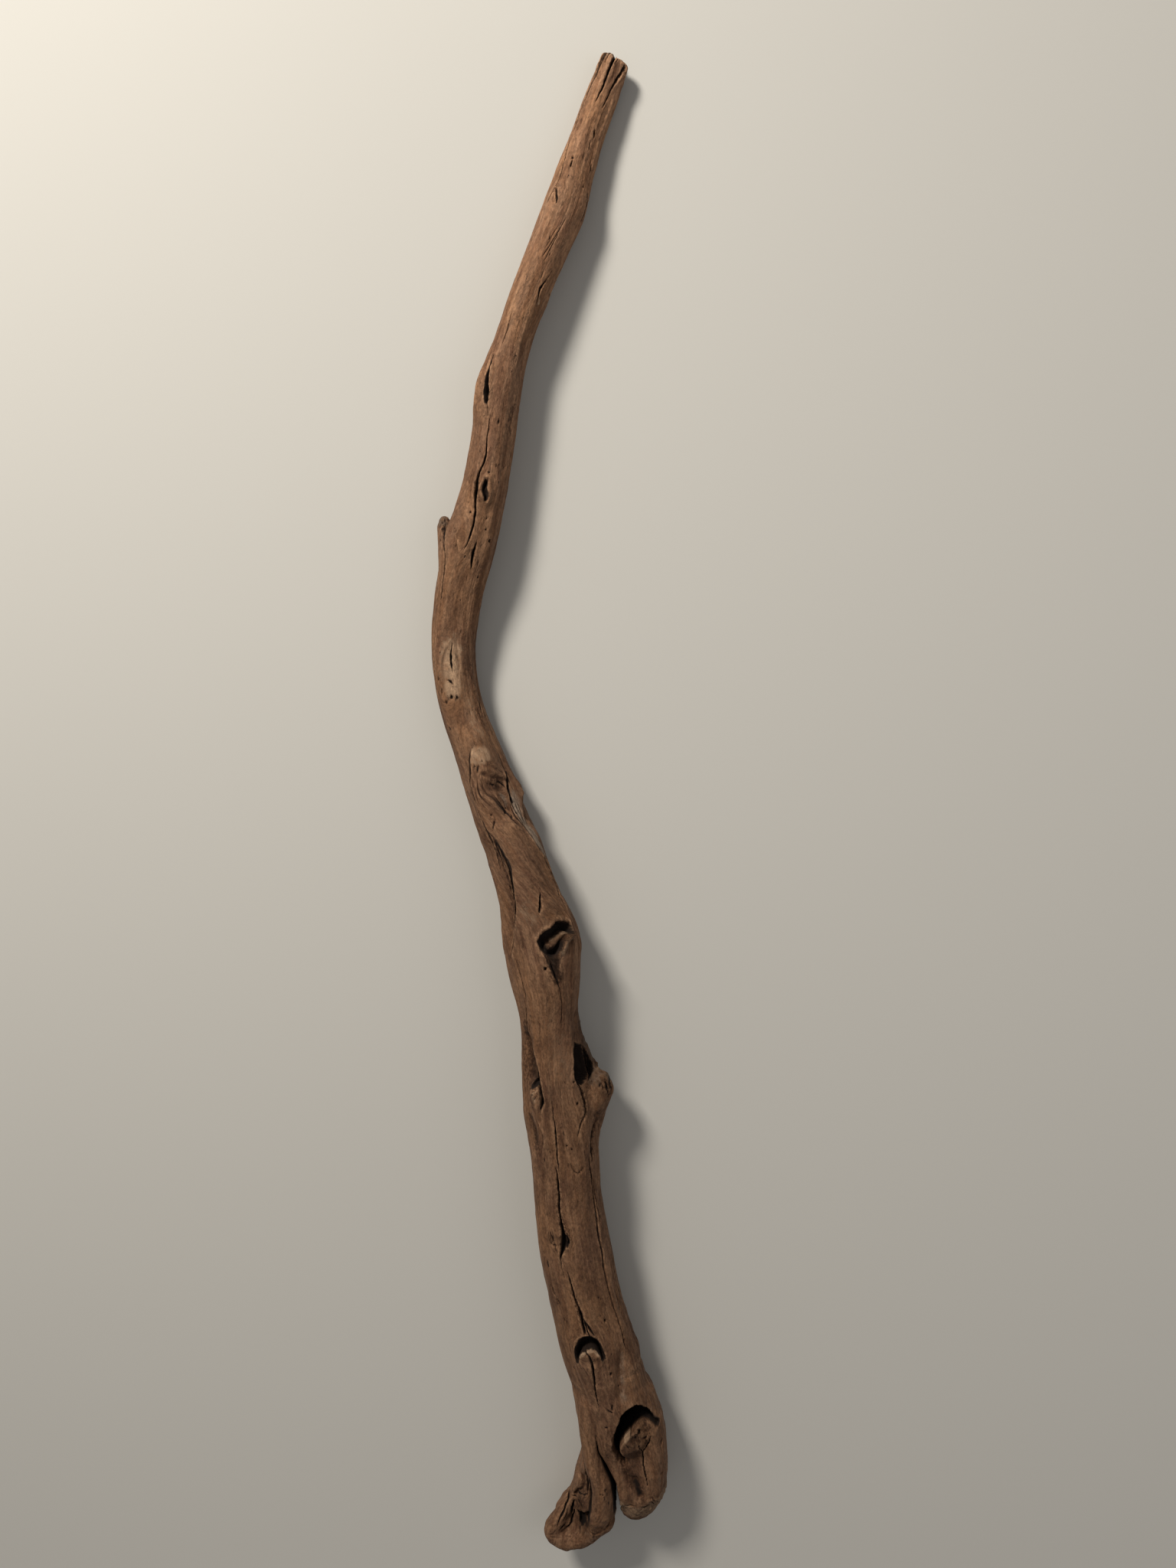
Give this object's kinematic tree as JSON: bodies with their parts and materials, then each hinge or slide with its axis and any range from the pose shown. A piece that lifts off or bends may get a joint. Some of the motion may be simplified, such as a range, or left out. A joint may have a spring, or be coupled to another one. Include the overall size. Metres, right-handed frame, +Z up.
{
  "type": "driftwood",
  "caption": "Long bent and twisted piece of weathered driftwood with a forked root end, knots, hollows and drying cracks, lying on its back.",
  "frame": {"origin": "middle of the piece's length and width, on the surface it lies on", "axes": "+Y runs from the forked foot to the thin tip, +X to the right of someone looking down with the tip away from them, +Z up out of the surface"},
  "size_m": [0.3031, 1.7631, 0.0991],
  "materials": {
    "weathered_wood": "bare, sea-worn and dry, matt, warm brown with darker grain, stains and cracks"
  },
  "bodies": {
    "root": {"stem": "weathered_wood", "toe_root": "weathered_wood", "heel_root": "weathered_wood", "branch_knob": "weathered_wood", "side_stub": "weathered_wood"}
  },
  "joints": []
}
